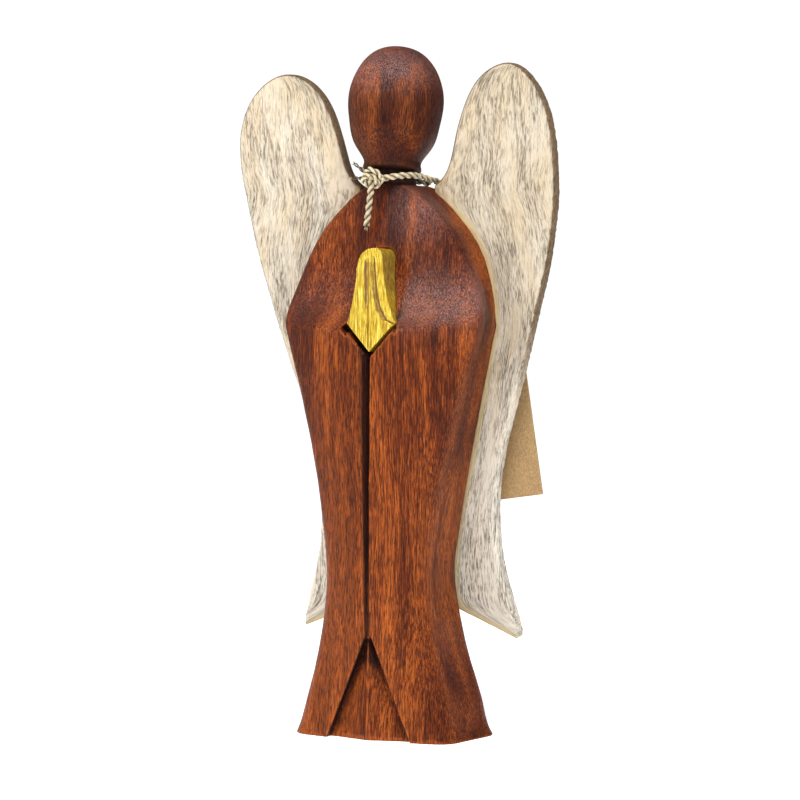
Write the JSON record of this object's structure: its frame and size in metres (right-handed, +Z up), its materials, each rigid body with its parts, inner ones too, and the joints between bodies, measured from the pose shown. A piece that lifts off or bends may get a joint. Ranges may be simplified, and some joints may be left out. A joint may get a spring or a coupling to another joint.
{
  "type": "carved wooden angel figurine",
  "caption": "Free-standing carved wooden angel with a plain egg-shaped head, gilded praying hands, whitewashed board wings and a twine-hung card tag.",
  "frame": {"origin": "the middle of the flat foot, straight under the neck's axis", "axes": "+Z up through the neck and head, -Y the way the figure faces, +X towards the figure's left wing"},
  "size_m": [0.1515, 0.059, 0.3],
  "materials": {
    "stained_wood": "satin, reddish-brown stain over fine grain",
    "gilding": "gold paint, rubbed through to brown at the edges",
    "whitewashed_wood": "matt, cream whitewash brushed thin over grey-brown grain",
    "dowel_wood": "plain turned wood",
    "twine": "two-ply plant-fibre twine",
    "kraft_card": "unprinted kraft card"
  },
  "bodies": {
    "figure": {"carved_figure": "stained_wood", "praying_hands": "gilding", "left_wing": "whitewashed_wood", "right_wing": "whitewashed_wood", "left_wing_lower_dowel": "dowel_wood", "left_wing_upper_dowel": "dowel_wood", "right_wing_lower_dowel": "dowel_wood", "right_wing_upper_dowel": "dowel_wood", "twine_knot": "twine", "twine_left": "twine", "twine_right": "twine", "twine_tail": "twine", "twine_ends": "twine"},
    "tag_string": {"tag_twine": "twine"},
    "tag": {"card_tag": "kraft_card"}
  },
  "joints": [
    {"name": "tag_lift", "type": "hinge", "parent": "figure", "child": "tag_string", "pos_m": [0.012, 0.0159, 0.238], "axis": [1, 0, 0], "range_deg": [0, 60]},
    {"name": "tag_swing", "type": "hinge", "parent": "tag_string", "child": "tag", "pos_m": [0.023, 0.0238, 0.1824], "axis": [0, 1, 0], "range_deg": [-25, 35]}
  ]
}
